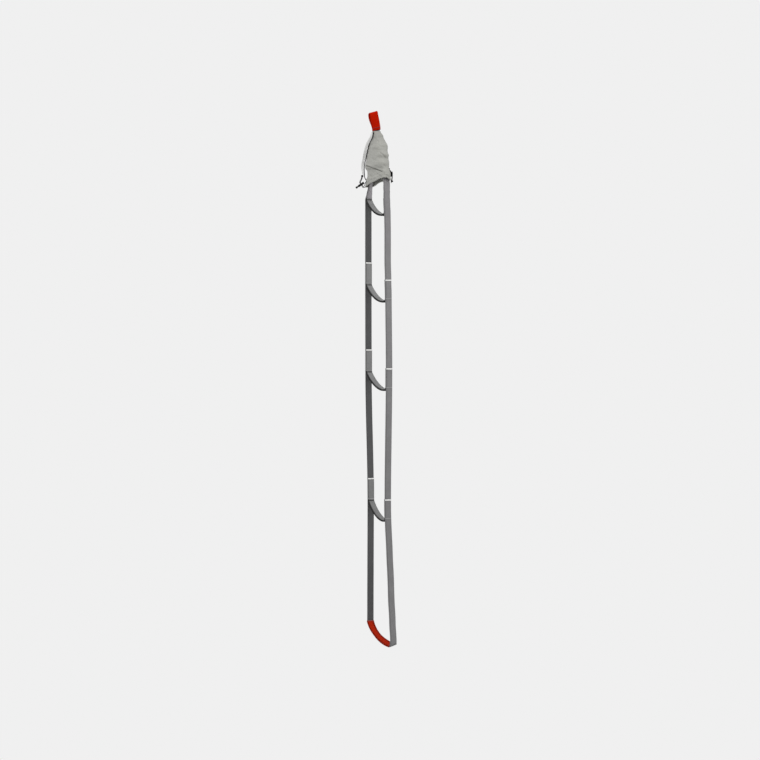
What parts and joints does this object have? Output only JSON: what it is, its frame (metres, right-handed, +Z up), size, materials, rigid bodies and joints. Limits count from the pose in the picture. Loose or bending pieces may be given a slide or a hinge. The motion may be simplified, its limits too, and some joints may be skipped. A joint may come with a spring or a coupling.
{
  "type": "aid climbing etrier",
  "caption": "Hanging webbing foot ladder with sling steps, a clip loop at the top and a small stow pouch closed by drawcords and cord locks.",
  "frame": {"origin": "inside top of the clip loop, where a carabiner bears", "axes": "+Z up along the hanging ladder, +X from the left rail to the right rail, +Y across the webbing, the way a foot goes in"},
  "size_m": [0.1424, 0.0739, 1.546],
  "materials": {
    "red_webbing": "woven nylon webbing, dull, tightly ribbed across",
    "light_webbing": "woven nylon webbing, light grey upper face",
    "black_webbing": "black stiffened webbing",
    "grey_webbing": "woven nylon webbing, mid grey outside and dark grey inside",
    "pouch_fabric": "thin warm grey nylon cloth, wrinkled",
    "strap_tape": "pale grey binding tape",
    "black_cord": "braided black cord",
    "black_plastic": "moulded black plastic, satin",
    "spring_steel": "plain steel wire"
  },
  "bodies": {
    "loop": {"clip_loop": "red_webbing"},
    "head": {"head_webbing": "grey_webbing", "step_1": "light_webbing", "step_1_stiffener": "black_webbing", "pouch_front": "pouch_fabric", "front_hem": "pouch_fabric", "pouch_back": "pouch_fabric", "back_hem": "pouch_fabric", "edge_cord": "black_cord", "side_strap": "strap_tape", "left_drawcord_front": "black_cord", "left_drawcord_back": "black_cord", "left_cord_knot": "black_cord", "right_drawcord_front": "black_cord", "right_drawcord_back": "black_cord", "right_cord_knot": "black_cord"},
    "left_rail_2": {"left_rail_2": "grey_webbing"},
    "right_rail_2": {"right_rail_2": "grey_webbing"},
    "step_2": {"left_lap_2": "grey_webbing", "step_2": "light_webbing", "step_2_stiffener": "black_webbing", "right_lap_2": "grey_webbing"},
    "left_rail_3": {"left_rail_3": "grey_webbing"},
    "right_rail_3": {"right_rail_3": "grey_webbing"},
    "step_3": {"left_lap_3": "grey_webbing", "step_3": "light_webbing", "step_3_stiffener": "black_webbing", "right_lap_3": "grey_webbing"},
    "left_rail_4": {"left_rail_4": "grey_webbing"},
    "right_rail_4": {"right_rail_4": "grey_webbing"},
    "step_4": {"left_lap_4": "grey_webbing", "step_4": "light_webbing", "step_4_stiffener": "black_webbing", "right_lap_4": "grey_webbing"},
    "left_rail_5": {"left_rail_5": "grey_webbing"},
    "right_rail_5": {"right_rail_5": "grey_webbing"},
    "bottom_step": {"bottom_step": "light_webbing", "bottom_sleeve": "red_webbing", "right_lap_5": "grey_webbing"},
    "left_lock": {"left_lock_barrel": "black_plastic", "left_lock_spring": "spring_steel"},
    "left_plunger": {"left_lock_plunger": "black_plastic"},
    "right_lock": {"right_lock_barrel": "black_plastic", "right_lock_spring": "spring_steel"},
    "right_plunger": {"right_lock_plunger": "black_plastic"}
  },
  "joints": [
    {"name": "head_swing", "type": "hinge", "parent": "loop", "child": "head", "pos_m": [0, 0.011, -0.0515], "axis": [0, 1, 0], "range_deg": [-40, 40]},
    {"name": "left_sway_2", "type": "hinge", "parent": "head", "child": "left_rail_2", "pos_m": [-0.069, 0.017, -0.255], "axis": [0, 1, 0], "range_deg": [-40, 40]},
    {"name": "left_level_2", "type": "hinge", "parent": "left_rail_2", "child": "step_2", "pos_m": [-0.069, 0.017, -0.427], "axis": [0, 1, 0], "range_deg": [-45, 45]},
    {"name": "right_sway_2", "type": "hinge", "parent": "head", "child": "right_rail_2", "pos_m": [0.069, 0.017, -0.305], "axis": [0, 1, 0], "range_deg": [-45, 45]},
    {"name": "right_sway_3", "type": "hinge", "parent": "step_2", "child": "right_rail_3", "pos_m": [0.069, 0.017, -0.555], "axis": [0, 1, 0], "range_deg": [-40, 40]},
    {"name": "right_level_3", "type": "hinge", "parent": "right_rail_3", "child": "step_3", "pos_m": [0.069, 0.017, -0.732], "axis": [0, 1, 0], "range_deg": [-45, 45]},
    {"name": "left_sway_3", "type": "hinge", "parent": "step_2", "child": "left_rail_3", "pos_m": [-0.069, 0.017, -0.505], "axis": [0, 1, 0], "range_deg": [-45, 45]},
    {"name": "left_sway_4", "type": "hinge", "parent": "step_3", "child": "left_rail_4", "pos_m": [-0.069, 0.017, -0.76], "axis": [0, 1, 0], "range_deg": [-40, 40]},
    {"name": "left_level_4", "type": "hinge", "parent": "left_rail_4", "child": "step_4", "pos_m": [-0.069, 0.017, -1.059], "axis": [0, 1, 0], "range_deg": [-45, 45]},
    {"name": "right_sway_4", "type": "hinge", "parent": "step_3", "child": "right_rail_4", "pos_m": [0.069, 0.017, -0.81], "axis": [0, 1, 0], "range_deg": [-45, 45]},
    {"name": "right_sway_5", "type": "hinge", "parent": "step_4", "child": "right_rail_5", "pos_m": [0.069, 0.017, -1.187], "axis": [0, 1, 0], "range_deg": [-40, 40]},
    {"name": "right_level_5", "type": "hinge", "parent": "right_rail_5", "child": "bottom_step", "pos_m": [0.069, 0.017, -1.525], "axis": [0, 1, 0], "range_deg": [-45, 45]},
    {"name": "left_sway_5", "type": "hinge", "parent": "step_4", "child": "left_rail_5", "pos_m": [-0.069, 0.017, -1.137], "axis": [0, 1, 0], "range_deg": [-45, 45]},
    {"name": "left_lock_slide", "type": "slide", "parent": "head", "child": "left_lock", "axis": [-0.2351, -0.5052, 0.8304], "range_m": [-0.003, 0.008], "deforming": ["left_drawcord_front", "left_drawcord_back"]},
    {"name": "left_plunger_press", "type": "slide", "parent": "left_lock", "child": "left_plunger", "axis": [0.3512, 0.7524, 0.5573], "range_m": [0, 0.0022], "stiffness_N_per_m": 350, "springref_m": -0.003, "deforming": ["left_lock_spring"]},
    {"name": "right_lock_slide", "type": "slide", "parent": "head", "child": "right_lock", "axis": [0.8904, 0, 0.4552], "range_m": [-0.004, 0.006], "deforming": ["right_drawcord_front", "right_drawcord_back"]},
    {"name": "right_plunger_press", "type": "slide", "parent": "right_lock", "child": "right_plunger", "axis": [0.4501, 0.15, -0.8803], "range_m": [0, 0.0022], "stiffness_N_per_m": 350, "springref_m": -0.003, "deforming": ["right_lock_spring"]}
  ],
  "couplings": [
    {"joint": "left_level_2", "follows": "left_sway_2", "ratio": -1},
    {"joint": "right_sway_2", "follows": "left_sway_2", "ratio": 1},
    {"joint": "right_level_3", "follows": "right_sway_3", "ratio": -1},
    {"joint": "left_sway_3", "follows": "right_sway_3", "ratio": 1},
    {"joint": "left_level_4", "follows": "left_sway_4", "ratio": -1},
    {"joint": "right_sway_4", "follows": "left_sway_4", "ratio": 1},
    {"joint": "right_level_5", "follows": "right_sway_5", "ratio": -1},
    {"joint": "left_sway_5", "follows": "right_sway_5", "ratio": 1}
  ]
}
